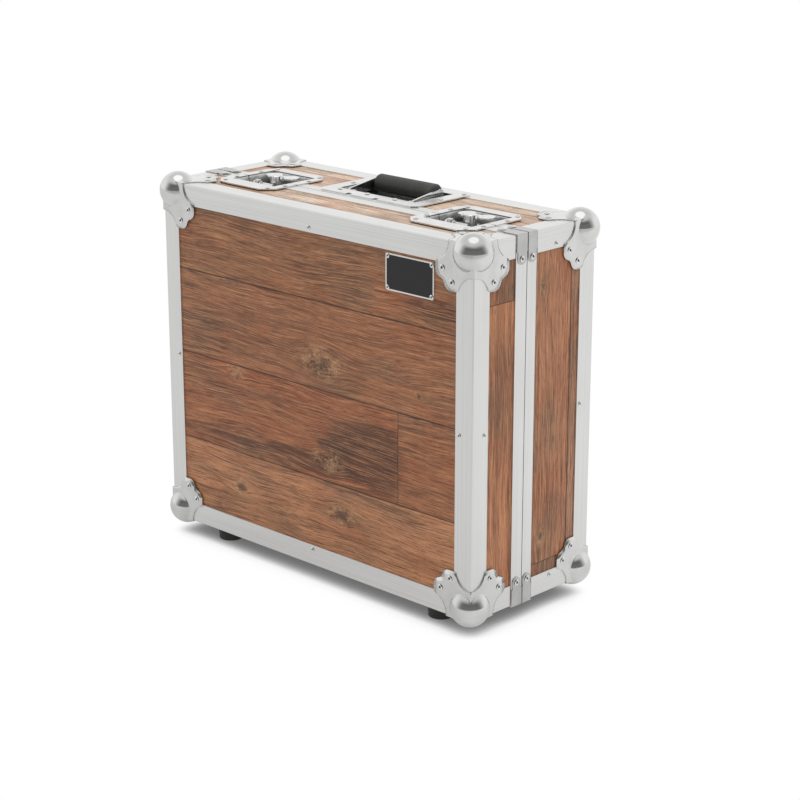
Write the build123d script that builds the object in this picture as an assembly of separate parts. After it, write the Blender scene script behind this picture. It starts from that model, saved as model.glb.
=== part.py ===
from build123d import *
from math import cos, radians, sin, sqrt
import os

# Turntable flight case, standing on its feet, closed and latched.
# X runs along the width, Y from the lid's face to the back of the base, Z up from the floor under the feet.

# Case size over the edge angles
case_width = 542.0
case_height = 460.0
lid_depth = 91.5
base_depth = 124.5

# Laminated panels and the aluminium that holds them
panel_thickness = 9.0
edge_flange = 27.0
edge_wall = 1.5
edge_round = 1.8
mitre_gap = 0.15
parting_gap = 1.0
short_angle_gap = 1.3

# Parting profiles: a band outside, a channel for the panel, and a tongue on the base that laps in the lid's groove
lid_band = 19.5
base_band = 17.0
profile_wall = 1.5
groove_depth = 6.5
groove_rail = 4.0
tongue_clearance = 1.0
tongue_root = 5.0
tongue_tip = 3.0

# Ball corners, pressed from sheet
ball_radius = 24.3
ball_inset = 13.2
corner_sheet = 1.2
leaf_reach = 59.0
leaf_notch = 39.0
leaf_notch_radius = 25.0
leaf_lobe_radius = 10.4
leaf_lobe_offset = 34.8

# Corner clamps round the parting bands
clamp_sheet = 1.2
clamp_leg = 21.0
clamp_rivet_offset = 29.0
clamp_tab_radius = 7.0
clamp_margin = 1.0

# Rubber feet
foot_height = 22.0
foot_top_radius = 17.5
foot_bottom_radius = 16.0
foot_edge_round = 1.5
foot_from_side = 78.0
foot_from_face = 33.0
foot_recess_radius = 6.0
foot_recess_depth = 9.0

# Lid hinges under the case
hinge_from_side = 145.0
hinge_width = 70.0
hinge_leaf_length = 34.0
hinge_sheet = 1.5
hinge_knuckle_radius = 4.0
hinge_pin_radius = 2.2
hinge_drop = 4.2
hinge_knuckles = 5
hinge_axial_gap = 0.3
running_clearance = 0.05

# Foam and the turntable that it holds
turntable_width = 453.0
turntable_height = 353.0
turntable_clearance = 2.0
base_foam_floor = 20.0
foam_collar_setback = 19.0
lid_foam_thickness = 15.0
foam_gap = 1.0

# Latch dishes, measured from the case's sides, the latch's own centre line, the parting plane and the case's top
latch_from_side = 101.3
latch_flange_width = 104.0
latch_flange_front = 51.0
latch_flange_back = 61.0
latch_flange_chamfer = 15.0
latch_mouth_width = 78.0
latch_mouth_front = 27.0
latch_mouth_back = 45.0
latch_depth = 13.0
latch_wall_lean = 3.0
latch_sheet = 1.2
flange_sheet = 1.5
dish_clearance = 1.0

# Rotor: an eccentric cam, a disc and a drum on one spindle
rotor_from_parting = 13.0
eccentric = 3.0
cam_radius = 7.0
cam_thickness = 2.0
floor_clearance = 0.4
disc_radius = 11.0
disc_thickness = 1.6
disc_clearance = 0.3
drum_radius = 8.3
drum_top = 5.0
spindle_radius = 2.0
wing_pin_radius = 1.2
wing_pin_height = 1.3

# Wing: two rounded leaves on a pin through the drum
wing_sheet = 1.6
wing_lobe_offset = 15.5
wing_lobe_reach = 11.5
wing_lobe_radius = 11.0
wing_drum_clearance = 1.2
wing_knuckle_radius = 2.4
wing_knuckle_width = 3.8
wing_side_gap = 0.9

# Link that the cam moves, and the hook pivoted on it
cam_travel_play = 0.85
link_width = 27.0
link_yoke_wall = 4.0
link_neck_width = 23.6
ear_sheet = 1.8
ear_radius = 3.0
hook_pivot_from_parting = -2.0
hook_pivot_height = -6.0
hook_pin_radius = 1.3
hook_barrel_radius = 2.4
hook_half_width = 9.0
hook_sheet = 2.0
hook_lip = 2.2
hook_lip_depth = 5.0
hook_gap = 0.3
strike_from_parting = 14.5
strike_sheet = 2.0
strike_height = 5.0
strike_foot = 7.0

# Torsion spring that holds the hook down
spring_wire = 1.8
spring_radius = 4.6
spring_turns = 3
spring_pitch = 2.6
spring_side_gap = 3.0

# Recessed handle, measured from the centre of the width, the parting plane and the case's top
handle_flange_width = 170.0
handle_flange_front = 5.5
handle_flange_back = 113.5
handle_flange_chamfer = 7.0
handle_mouth_width = 132.0
handle_mouth_front = 26.0
handle_mouth_back = 95.0
handle_depth = 20.0
handle_wall_lean = 4.0
handle_notch_width = 8.0
handle_notch_depth = 6.0
handle_notches = (-31.0, 16.0)
handle_pivot_from_parting = 36.5
handle_pivot_height = -5.0
handle_pivot_radius = 3.0
grip_from_parting = 82.5
grip_height = 2.3
grip_radius = 11.5
grip_length = 100.0
grip_edge_round = 3.0
rod_radius = 4.0
strap_inner = 54.0
strap_sheet = 3.0
strap_boss_radius = 6.5
strap_end_radius = 6.0
handle_spring_wire = 1.6
handle_spring_radius = 3.85
handle_spring_turns = 3
handle_spring_pitch = 2.0

# Bare badge plate on the lid's face
badge_width = 78.0
badge_height = 45.0
badge_sheet = 1.0
badge_from_side = 101.8
badge_from_top = 53.0
badge_round = 3.0

# Places worked out from the sizes
half_width = case_width / 2
case_depth = lid_depth + base_depth
front_face = -case_depth / 2
back_face = case_depth / 2
parting = front_face + lid_depth
bottom = foot_height
top = foot_height + case_height
panel_inner = edge_wall + panel_thickness
profile_reach = panel_inner + profile_wall
groove_floor = parting_gap / 2 + groove_depth
dish_floor = -latch_depth
latch_from_centre = half_width - latch_from_side
hinge_from_centre = half_width - hinge_from_side
link_bottom = dish_floor + floor_clearance
link_top = link_bottom + cam_thickness
disc_bottom = link_top + disc_clearance
disc_top = disc_bottom + disc_thickness


def block(x0, x1, y0, y1, z0, z1):
    """A box between two opposite corners."""
    size = (abs(x1 - x0), abs(y1 - y0), abs(z1 - z0))
    middle = ((x0 + x1) / 2, (y0 + y1) / 2, (z0 + z1) / 2)
    return Pos(*middle) * Box(*size)


def prism(points, plane, length):
    """A straight prism of a polygon drawn on a plane."""
    return extrude(plane * make_face(Polyline(*points, close=True)), length)


def rod(start, length, radius, direction="X"):
    """A round bar from a start point along +X or +Z."""
    turn = {"X": (0, 90, 0), "Z": (0, 0, 0)}[direction]
    along = {"X": (length / 2, 0, 0), "Z": (0, 0, length / 2)}[direction]
    return Pos(*start) * Pos(*along) * Rot(*turn) * Cylinder(radius, length)


def frame_at(origin, x_dir, z_dir):
    """The place whose X and Z run along the given directions."""
    return Plane(origin=origin, x_dir=x_dir, z_dir=z_dir).location


def to_lid(shape):
    """Places a half that is drawn with its face at Y = 0."""
    return Pos(0, front_face, 0) * shape


def to_base(shape):
    """Places a half that is drawn with its face at Y = 0, turned to look backwards."""
    return Pos(0, back_face, 0) * mirror(shape, about=Plane.XZ)


parts = {}


def keep(name, *pieces):
    """Notes a node made of one or more separate solids."""
    solids = []
    for piece in pieces:
        solids.extend(piece.solids())
    parts[name] = solids[0] if len(solids) == 1 else Compound(solids)


# Wall panels of one half: a face, and four walls that butt against it and stop in the parting channel
def panels(depth, channel):
    wall_end = depth - channel
    outer_x = half_width - edge_wall
    inner_x = half_width - panel_inner
    return {
        "face": block(-outer_x, outer_x, edge_wall, panel_inner, bottom + edge_wall, top - edge_wall),
        "top": block(-outer_x, outer_x, panel_inner, wall_end, top - panel_inner, top - edge_wall),
        "bottom": block(-outer_x, outer_x, panel_inner, wall_end, bottom + edge_wall, bottom + panel_inner),
        "left": block(-outer_x, -inner_x, panel_inner, wall_end, bottom + panel_inner, top - panel_inner),
        "right": block(inner_x, outer_x, panel_inner, wall_end, bottom + panel_inner, top - panel_inner),
    }


# Edge angle along +X with its outer corner on the X axis, mitred where it meets its neighbours
def edge_angle(length, far_mitre):
    flange = edge_flange
    angle = block(0, length, 0, flange, 0, flange) - block(0, length, edge_wall, flange, edge_wall, flange)
    outer_edge = angle.edges().filter_by(Axis.X).sort_by(lambda e: e.center().Y + e.center().Z)[0]
    angle = fillet(outer_edge, edge_round)
    corner = [(0, 0), (mitre_gap, 0), (flange + mitre_gap, flange), (0, flange)]
    for plane, way in ((Plane.XY, 1), (Plane.XZ, -1)):
        wedge = prism(corner, plane, way * flange)
        angle = angle - wedge
        if far_mitre:
            angle = angle - mirror(wedge, about=Plane.YZ.offset(length / 2))
    return angle


def edge_angles(short_length):
    """Angles round a face and along the short edges, drawn with the face at Y = 0."""
    wide = edge_angle(case_width, True)
    tall = edge_angle(case_height, True)
    short = edge_angle(short_length, False)
    left, right = -half_width, half_width
    return {
        "horizontal": [
            frame_at((left, 0, top), (1, 0, 0), (0, 1, 0)) * wide,
            frame_at((left, 0, bottom), (1, 0, 0), (0, 0, 1)) * wide,
        ],
        "vertical": [
            frame_at((left, 0, bottom), (0, 0, 1), (0, 1, 0)) * tall,
            frame_at((right, 0, bottom), (0, 0, 1), (-1, 0, 0)) * tall,
        ],
        "short": [
            frame_at((left, 0, bottom), (0, 1, 0), (1, 0, 0)) * short,
            frame_at((right, 0, bottom), (0, 1, 0), (0, 0, 1)) * short,
            frame_at((left, 0, top), (0, 1, 0), (0, 0, -1)) * short,
            frame_at((right, 0, top), (0, 1, 0), (-1, 0, 0)) * short,
        ],
    }


# Parting profile along +X: Y from the parting plane into its half, Z inwards from the outer face
def lid_section():
    start = parting_gap / 2
    web = groove_floor + profile_wall
    return [
        (start, 0), (lid_band, 0), (lid_band, edge_wall), (web, edge_wall), (web, panel_inner),
        (lid_band, panel_inner), (lid_band, profile_reach), (groove_floor, profile_reach),
        (groove_floor, groove_rail), (start, groove_rail),
    ]


def base_section():
    start = parting_gap / 2
    web = start + profile_wall
    tongue_start = groove_rail + tongue_clearance
    tongue_middle = tongue_start + tongue_root / 2
    tongue_end = start + tongue_clearance - groove_floor
    return [
        (start, 0), (base_band, 0), (base_band, edge_wall), (web, edge_wall), (web, panel_inner),
        (base_band, panel_inner), (base_band, profile_reach), (start, profile_reach),
        (start, tongue_start + tongue_root), (tongue_end, tongue_middle + tongue_tip / 2),
        (tongue_end, tongue_middle - tongue_tip / 2), (start, tongue_start),
    ]


def profile_length(section, length):
    """One mitred length of a parting profile."""
    bar = prism(section, Plane.YZ, length)
    deep = lid_band + groove_floor
    reach = profile_reach
    corner = [(0, 0), (mitre_gap, 0), (reach + mitre_gap, reach), (0, reach)]
    wedge = Pos(0, -groove_floor, 0) * prism(corner, Plane.XZ, -deep)
    return bar - wedge - mirror(wedge, about=Plane.YZ.offset(length / 2))


def profile_ring(section, depth):
    """The four lengths of a parting profile: top, bottom, left and right."""
    wide = profile_length(section, case_width)
    tall = profile_length(section, case_height)
    return [
        frame_at((-half_width, depth, top), (1, 0, 0), (0, 0, -1)) * wide,
        frame_at((half_width, depth, bottom), (-1, 0, 0), (0, 0, 1)) * wide,
        frame_at((-half_width, depth, bottom), (0, 0, 1), (1, 0, 0)) * tall,
        frame_at((half_width, depth, top), (0, 0, -1), (-1, 0, 0)) * tall,
    ]


# Ball corner at the origin, with the case in the octant where all three coordinates are positive
def leaf_outline():
    """One scalloped leaf: a deep round notch on each edge and two lobes with a small notch between them."""
    sheet = corner_sheet
    shoulder_y = leaf_reach - 2.0
    rise = shoulder_y - leaf_notch
    shoulder_x = sqrt(2 * leaf_notch_radius * rise - rise * rise)
    middle_rise = rise / 3
    middle_x = sqrt(2 * leaf_notch_radius * middle_rise - middle_rise * middle_rise)
    centre = (leaf_lobe_offset, leaf_reach - leaf_lobe_radius)
    slope = radians(40)
    lobe_middle = (centre[0] + leaf_lobe_radius * sin(slope), centre[1] + leaf_lobe_radius * cos(slope))
    valley_half = (centre[0] + centre[1]) / 2
    span = (centre[1] - centre[0]) / 2 * sqrt(2)
    valley = valley_half + sqrt(leaf_lobe_radius ** 2 - span ** 2) / sqrt(2)
    half = [
        Line((-sheet, leaf_notch), (0, leaf_notch)),
        ThreePointArc((0, leaf_notch), (middle_x, leaf_notch + middle_rise), (shoulder_x, shoulder_y)),
        Line((shoulder_x, shoulder_y), (shoulder_x + 3.0, leaf_reach)),
        Line((shoulder_x + 3.0, leaf_reach), (centre[0], leaf_reach)),
        ThreePointArc((centre[0], leaf_reach), lobe_middle, (valley, valley)),
    ]
    other = [edge.mirror(Plane(origin=(0, 0, 0), z_dir=(1, -1, 0))) for edge in half]
    base = [Line((-sheet, leaf_notch), (-sheet, -sheet)), Line((-sheet, -sheet), (leaf_notch, -sheet))]
    return make_face(Wire(half + other + base))


def ball_corner():
    leaf = extrude(leaf_outline(), -corner_sheet)
    diagonal = Axis((0, 0, 0), (1, 1, 1))
    shell = leaf + leaf.rotate(diagonal, 120) + leaf.rotate(diagonal, 240)
    centre = Pos(ball_inset, ball_inset, ball_inset)
    shell = shell + centre * Sphere(ball_radius)
    shell = shell - centre * Sphere(ball_radius - corner_sheet)
    return shell - block(0, leaf_reach, 0, leaf_reach, 0, leaf_reach)


def corner_place(x_side, y_side, z_side):
    """The place of a corner part, whose own axes run inwards from the case's corner."""
    origin = (x_side * half_width, y_side * case_depth / 2, top if z_side > 0 else bottom)
    inward = (-x_side, -y_side, -z_side)
    if inward[0] * inward[1] * inward[2] > 0:
        return frame_at(origin, (inward[0], 0, 0), (0, 0, inward[2]))
    return frame_at(origin, (0, inward[1], 0), (0, 0, inward[2]))


# Corner clamp: an L round the band's outer corner, with a rounded tab for one rivet on each leg
def corner_clamp(width):
    middle = parting_gap / 2 + width / 2
    start = middle - width / 2 + clamp_margin / 2
    leg = block(-clamp_sheet, clamp_leg, start, start + width - clamp_margin, -clamp_sheet, 0)
    neck = block(0, clamp_rivet_offset, middle - clamp_tab_radius, middle + clamp_tab_radius, -clamp_sheet, 0)
    tab = Pos(clamp_rivet_offset, middle, -clamp_sheet / 2) * Cylinder(clamp_tab_radius, clamp_sheet)
    flat = leg + neck + tab
    upright = flat.mirror(Plane(origin=(0, 0, 0), z_dir=(1, 0, -1)))
    return flat + upright


def clamp_ring(depth, width):
    """Clamps at the four corners of a half, drawn with its face at Y = 0."""
    clamp = corner_clamp(width)
    return [
        frame_at((-half_width, depth, top), (1, 0, 0), (0, 0, -1)) * clamp,
        frame_at((half_width, depth, bottom), (-1, 0, 0), (0, 0, 1)) * clamp,
        frame_at((-half_width, depth, bottom), (0, 0, 1), (1, 0, 0)) * clamp,
        frame_at((half_width, depth, top), (0, 0, -1), (-1, 0, 0)) * clamp,
    ]


# Rubber foot, standing on the floor with its screw recess underneath
def foot():
    body = Pos(0, 0, foot_height / 2) * Cone(foot_bottom_radius, foot_top_radius, foot_height)
    rim = body.edges().filter_by(GeomType.CIRCLE).sort_by(Axis.Z)[0]
    body = fillet(rim, foot_edge_round)
    return body - rod((0, 0, 0), foot_recess_depth, foot_recess_radius, "Z")


def foot_pair():
    foot_x = half_width - foot_from_side
    return [Pos(side * foot_x, foot_from_face, 0) * foot() for side in (-1, 1)]


# Surface hinge along X with its pin on the parting plane, just under the case's bottom
knuckle_width = hinge_width / hinge_knuckles


def hinge_leaf(side):
    """side -1 is the lid's leaf with the even knuckles, side 1 the base's leaf with the odd ones."""
    start = hinge_knuckle_radius + hinge_axial_gap
    leaf = block(-hinge_width / 2, hinge_width / 2, 0, side * hinge_leaf_length, 0, -hinge_sheet)
    relief = rod((-hinge_width / 2, 0, -hinge_drop), hinge_width, start)
    leaf = leaf - relief
    for n in range(hinge_knuckles):
        if (n % 2 == 0) != (side > 0):
            continue
        left = -hinge_width / 2 + n * knuckle_width + hinge_axial_gap / 2
        width = knuckle_width - hinge_axial_gap
        knuckle = rod((left, 0, -hinge_drop), width, hinge_knuckle_radius)
        web = block(left, left + width, side * 0.6, side * (start + 1.0), -hinge_sheet, 0)
        leaf = leaf + knuckle + web
    return leaf - rod((-hinge_width / 2, 0, -hinge_drop), hinge_width, hinge_pin_radius + running_clearance)


def hinge_pin():
    return rod((-hinge_width / 2, 0, -hinge_drop), hinge_width, hinge_pin_radius)


# Pressed dish: a flange round a mouth, with leaning walls and a flat floor under the mouth
def tray(x_half, y0, y1, lean, z_high, z_low):
    """The leaning block between a mouth rectangle and its smaller floor."""
    mouth = Pos(0, (y0 + y1) / 2, z_high) * Rectangle(2 * x_half, y1 - y0)
    floor = Pos(0, (y0 + y1) / 2, z_low) * Rectangle(2 * (x_half - lean), y1 - y0 - 2 * lean)
    return loft([mouth, floor])


def flange_plate(width, y0, y1, chamfer_size):
    plate = block(-width / 2, width / 2, y0, y1, 0, flange_sheet)
    return chamfer(plate.edges().filter_by(Axis.Z), chamfer_size)


def dish(width, flange_y, mouth_width, mouth_y, depth, lean, chamfer_size):
    """A whole dish, with its flange on the case's outer plane at Z = 0."""
    sheet = latch_sheet
    x_half = mouth_width / 2
    outside = tray(x_half + sheet, mouth_y[0] - sheet, mouth_y[1] + sheet, lean, 0, -depth - sheet)
    inside = tray(x_half, mouth_y[0], mouth_y[1], lean, 0, -depth)
    mouth = block(-x_half, x_half, mouth_y[0], mouth_y[1], 0, flange_sheet)
    return flange_plate(width, flange_y[0], flange_y[1], chamfer_size) + outside - inside - mouth


latch_flange_y = (-latch_flange_front, latch_flange_back)
latch_mouth_y = (-latch_mouth_front, latch_mouth_back)
latch_dish = dish(
    latch_flange_width, latch_flange_y, latch_mouth_width, latch_mouth_y,
    latch_depth, latch_wall_lean, latch_flange_chamfer,
)
half_gap = parting_gap / 2
far = latch_flange_width
keeper_half = latch_dish & block(-far, far, -far, -half_gap, -far, far)
base_half = latch_dish & block(-far, far, half_gap, far, -far, far)

# Strike: an angle riveted to the keeper's floor, with its foot under the hook's lip
strike_face = -strike_from_parting
strike = block(-hook_half_width, hook_half_width, strike_face, strike_face + strike_sheet,
               dish_floor, dish_floor + strike_height)
strike = strike + block(-hook_half_width, hook_half_width, strike_face - strike_foot, strike_face,
                        dish_floor, dish_floor + latch_sheet)

# Spindle: riveted in the latch's floor, with the rotor turning on it
spindle = rod((0, rotor_from_parting, dish_floor), drum_top - dish_floor - 2.0, spindle_radius, "Z")
latch_base = base_half + spindle

# Rotor: cam, disc and drum, with the wing's pin across the drum
cam = rod((0, rotor_from_parting + eccentric, link_bottom), cam_thickness + disc_clearance, cam_radius, "Z")
disc = rod((0, rotor_from_parting, disc_bottom), disc_thickness, disc_radius, "Z")
drum = rod((0, rotor_from_parting, disc_top), drum_top - disc_top, drum_radius, "Z")
drum = chamfer(drum.edges().filter_by(GeomType.CIRCLE).sort_by(Axis.Z)[-1], 1.0)
wing_pin_half = drum_radius + wing_side_gap + wing_knuckle_width
wing_pin = rod((-wing_pin_half, rotor_from_parting, wing_pin_height), 2 * wing_pin_half, wing_pin_radius)
bore = rod((0, rotor_from_parting, link_bottom), drum_top - link_bottom - 1.6,
           spindle_radius + running_clearance, "Z")
rotor = cam + disc + drum - bore
rotor = rotor + (wing_pin - bore)


# Wing: folded flat towards the back of the dish
def wing_shape():
    pin_y = rotor_from_parting
    low = wing_pin_height - wing_sheet / 2
    knuckle_start = drum_radius + wing_side_gap
    lobes = []
    for side in (-1, 1):
        centre = (side * wing_lobe_offset, pin_y + wing_lobe_reach, low)
        lobes.append(rod(centre, wing_sheet, wing_lobe_radius, "Z"))
    web = block(-wing_lobe_offset, wing_lobe_offset, pin_y + 3.0, pin_y + wing_lobe_reach + 3.0,
                low, low + wing_sheet)
    plate = lobes[0] + lobes[1] + web
    drum_room = rod((0, pin_y, low), wing_sheet, drum_radius + wing_drum_clearance, "Z")
    finger_hole = rod((0, pin_y + wing_lobe_reach + 6.0, low), wing_sheet, 3.0, "Z")
    plate = plate - drum_room - finger_hole
    plate = plate - block(-drum_radius - wing_side_gap, drum_radius + wing_side_gap, pin_y - 5, pin_y + 5,
                          low, low + wing_sheet)
    plate = plate - block(-half_width, half_width, pin_y - wing_lobe_radius, pin_y, low, low + wing_sheet)
    for side in (-1, 1):
        start = knuckle_start if side > 0 else -knuckle_start - wing_knuckle_width
        plate = plate + rod((start, pin_y, wing_pin_height), wing_knuckle_width, wing_knuckle_radius)
    bore_start = -knuckle_start - wing_knuckle_width
    return plate - rod((bore_start, pin_y, wing_pin_height), 2 * -bore_start,
                       wing_pin_radius + running_clearance)


wing = wing_shape()

# Link: a yoke round the cam, a neck, and two ears that carry the hook's pin
yoke_middle = rotor_from_parting + eccentric
yoke_half = cam_radius + cam_travel_play + link_yoke_wall
yoke_front = yoke_middle - yoke_half
neck_front = hook_pivot_from_parting - ear_radius
ear_inside = hook_half_width + hook_gap
link = block(-link_width / 2, link_width / 2, yoke_front, yoke_middle + yoke_half, link_bottom, link_top)
link = link + block(-link_neck_width / 2, link_neck_width / 2, neck_front, yoke_front, link_bottom, link_top)
cam_room = cam_radius + cam_travel_play
link = link - block(-cam_room - eccentric, cam_room, yoke_middle - cam_room, yoke_middle + cam_room,
                    link_bottom, link_top)
for side in (-1, 1):
    ear_start = ear_inside if side > 0 else -ear_inside - ear_sheet
    ear = block(ear_start, ear_start + ear_sheet, neck_front, hook_pivot_from_parting + ear_radius,
                link_bottom, hook_pivot_height)
    ear = ear + rod((ear_start, hook_pivot_from_parting, hook_pivot_height), ear_sheet, ear_radius)
    link = link + ear
pin_right = ear_inside + ear_sheet
pin_left = -pin_right - spring_side_gap - (spring_turns + 1) * spring_pitch
bobbin_radius = spring_radius - spring_wire / 2 - running_clearance
link = link + rod((-pin_right, hook_pivot_from_parting, hook_pivot_height), 2 * pin_right, hook_pin_radius)
link = link + rod((pin_left, hook_pivot_from_parting, hook_pivot_height), -pin_right - pin_left, bobbin_radius)

# Hook: a barrel on the pin, an arm over the strike and a lip down behind it
claw_inner = strike_face - hook_gap
claw_outer = claw_inner - hook_lip
arm_low = hook_pivot_height - hook_sheet / 2
hook = rod((-hook_half_width, hook_pivot_from_parting, hook_pivot_height), 2 * hook_half_width, hook_barrel_radius)
hook = hook + block(-hook_half_width, hook_half_width, claw_outer, hook_pivot_from_parting,
                    arm_low, arm_low + hook_sheet)
hook = hook + block(-hook_half_width, hook_half_width, claw_outer, claw_inner,
                    hook_pivot_height - hook_lip_depth, arm_low)
hook = hook - rod((-hook_half_width, hook_pivot_from_parting, hook_pivot_height), 2 * hook_half_width,
                  hook_pin_radius + running_clearance)


def coil(wire, radius, turns, pitch):
    """A spring's coil along +X from the origin: one six-sided wire swept along a helix."""
    path = Helix(pitch=pitch, height=turns * pitch, radius=radius)
    start = Plane(origin=path @ 0, z_dir=path % 0)
    section = start * RegularPolygon(wire / 2, 6)
    return Rot(0, 90, 0) * sweep(section, path=path, is_frenet=True)


spring_start = -pin_right - spring_side_gap - spring_turns * spring_pitch
hook_spring = Pos(spring_start, hook_pivot_from_parting, hook_pivot_height) * coil(
    spring_wire, spring_radius, spring_turns, spring_pitch
)

# Recessed handle: dish with a notched front edge, bail with its rod, and a round grip on the rod
handle_dish = dish(
    handle_flange_width, (handle_flange_front, handle_flange_back), handle_mouth_width,
    (handle_mouth_front, handle_mouth_back), handle_depth, handle_wall_lean, handle_flange_chamfer,
)
for notch in handle_notches:
    handle_dish = handle_dish - block(
        notch - handle_notch_width / 2, notch + handle_notch_width / 2,
        handle_flange_front, handle_flange_front + handle_notch_depth, 0, flange_sheet,
    )
pivot_outer = handle_mouth_width / 2 + latch_sheet
pivot_inner = strap_inner - handle_spring_turns * handle_spring_pitch - 3.0
for side in (-1, 1):
    start = pivot_inner if side > 0 else -pivot_outer
    handle_dish = handle_dish - rod(
        (start, handle_pivot_from_parting, handle_pivot_height), pivot_outer - pivot_inner, handle_pivot_radius
    )

handle_pivots = []
handle_springs = []
for side in (-1, 1):
    start = pivot_inner if side > 0 else -pivot_outer
    handle_pivots.append(rod((start, handle_pivot_from_parting, handle_pivot_height),
                             pivot_outer - pivot_inner, handle_pivot_radius))
    coil_length = handle_spring_turns * handle_spring_pitch
    coil_start = strap_inner - 1.2 - coil_length if side > 0 else -strap_inner + 1.2
    handle_springs.append(Pos(coil_start, handle_pivot_from_parting, handle_pivot_height) * coil(
        handle_spring_wire, handle_spring_radius, handle_spring_turns, handle_spring_pitch
    ))


def strap(start):
    """One side strap, from its boss on the pivot to the rod, drawn as a tapered plate."""
    pivot = (handle_pivot_from_parting, handle_pivot_height)
    end = (grip_from_parting, grip_height)
    boss = Pos(*pivot) * Circle(strap_boss_radius)
    tip = Pos(*end) * Circle(strap_end_radius)
    outline = Plane.YZ * make_hull((boss + tip).edges())
    plate = Pos(start, 0, 0) * extrude(outline, strap_sheet)
    return plate - rod((start, *pivot), strap_sheet, handle_pivot_radius + running_clearance)


bail = rod((-strap_inner, grip_from_parting, grip_height), 2 * strap_inner, rod_radius)
bail = bail + strap(strap_inner) + strap(-strap_inner - strap_sheet)
grip = rod((-grip_length / 2, grip_from_parting, grip_height), grip_length, grip_radius)
grip = fillet(grip.edges().filter_by(GeomType.CIRCLE), grip_edge_round)
grip = grip - rod((-grip_length / 2, grip_from_parting, grip_height), grip_length, rod_radius)

# Where the fittings go on the case
latch_places = {
    "left": Pos(-latch_from_centre, parting, top),
    "right": Pos(latch_from_centre, parting, top),
}
handle_place = Pos(0, parting, top)
hinge_places = [Pos(side * hinge_from_centre, parting, bottom) for side in (-1, 1)]


def dish_room(mouth_width, mouth_y, depth):
    """The cut-out that a dish needs through the walls."""
    grow = latch_sheet + dish_clearance
    return block(-mouth_width / 2 - grow, mouth_width / 2 + grow, mouth_y[0] - grow, mouth_y[1] + grow,
                 -depth - grow, flange_sheet)


latch_room = dish_room(latch_mouth_width, latch_mouth_y, latch_depth)
handle_room = dish_room(handle_mouth_width, (handle_mouth_front, handle_mouth_back), handle_depth)
latch_rooms = [place * latch_room for place in latch_places.values()]
top_rooms = latch_rooms + [handle_place * handle_room]


def cut(shape, tools):
    for tool in tools:
        shape = shape - tool
    return shape


# Lid half
lid_panels = panels(lid_depth, groove_floor + profile_wall)
keep("lid_face_panel", to_lid(lid_panels["face"]))
keep("lid_top_panel", cut(to_lid(lid_panels["top"]), latch_rooms))
for name in ("bottom", "left", "right"):
    keep(f"lid_{name}_panel", to_lid(lid_panels[name]))
lid_angles = edge_angles(lid_depth - lid_band - short_angle_gap)
for name, pieces in lid_angles.items():
    keep(f"lid_{name}_edges", *[to_lid(piece) for piece in pieces])
lid_ring = [to_lid(piece) for piece in profile_ring(lid_section(), lid_depth)]
lid_ring[0] = cut(lid_ring[0], latch_rooms)
keep("lid_parting_profile", *lid_ring)
keep("lid_corner_clamps", *[to_lid(piece) for piece in clamp_ring(lid_depth, lid_band - parting_gap / 2)])
keep("lid_feet", *[to_lid(piece) for piece in foot_pair()])
keep("lid_hinge_leaves", *[place * hinge_leaf(-1) for place in hinge_places])

# Base half
base_panels = panels(base_depth, parting_gap / 2 + profile_wall)
keep("base_back_panel", to_base(base_panels["face"]))
keep("base_top_panel", cut(to_base(base_panels["top"]), top_rooms))
for name in ("bottom", "left", "right"):
    keep(f"base_{name}_panel", to_base(base_panels[name]))
base_angles = edge_angles(base_depth - base_band - short_angle_gap)
for name, pieces in base_angles.items():
    keep(f"base_{name}_edges", *[cut(to_base(piece), top_rooms) for piece in pieces])
base_ring = [to_base(piece) for piece in profile_ring(base_section(), base_depth)]
base_ring[0] = cut(base_ring[0], latch_rooms)
keep("base_parting_profile", *base_ring)
keep("base_corner_clamps", *[to_base(piece) for piece in clamp_ring(base_depth, base_band - parting_gap / 2)])
keep("base_feet", *[to_base(piece) for piece in foot_pair()])
keep("base_hinge_leaves", *[place * hinge_leaf(1) for place in hinge_places])
keep("hinge_pins", *[place * hinge_pin() for place in hinge_places])

# Ball corners of both halves
corner = ball_corner()
for half, y_side in (("lid", -1), ("base", 1)):
    for level, z_side in (("top", 1), ("bottom", -1)):
        for hand, x_side in (("left", -1), ("right", 1)):
            keep(f"{half}_ball_corner_{level}_{hand}", corner_place(x_side, y_side, z_side) * corner)

# Foam: a floor and a collar of blocks in the base, which stop short of the dishes, and a pad in the lid
inner_x = half_width - panel_inner - foam_gap
inner_low = bottom + panel_inner + foam_gap
inner_high = top - panel_inner - foam_gap
hold_x = turntable_width / 2 + turntable_clearance
middle_z = (bottom + top) / 2
hold_low = middle_z - turntable_height / 2 - turntable_clearance
hold_high = middle_z + turntable_height / 2 + turntable_clearance
floor_back = back_face - panel_inner
floor_front = floor_back - base_foam_floor
collar_front = parting + foam_collar_setback
dish_margin = latch_sheet + dish_clearance + foam_gap
under_dishes = top - handle_depth - dish_margin
beside_handle = handle_mouth_width / 2 + dish_margin
latch_inner = latch_from_centre - latch_mouth_width / 2 - dish_margin
latch_outer = latch_from_centre + latch_mouth_width / 2 + dish_margin
keep(
    "base_foam_floor",
    block(-inner_x, inner_x, floor_front, floor_back, inner_low, under_dishes),
    block(-inner_x, -beside_handle, floor_front, floor_back, under_dishes, inner_high),
    block(beside_handle, inner_x, floor_front, floor_back, under_dishes, inner_high),
)
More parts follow.
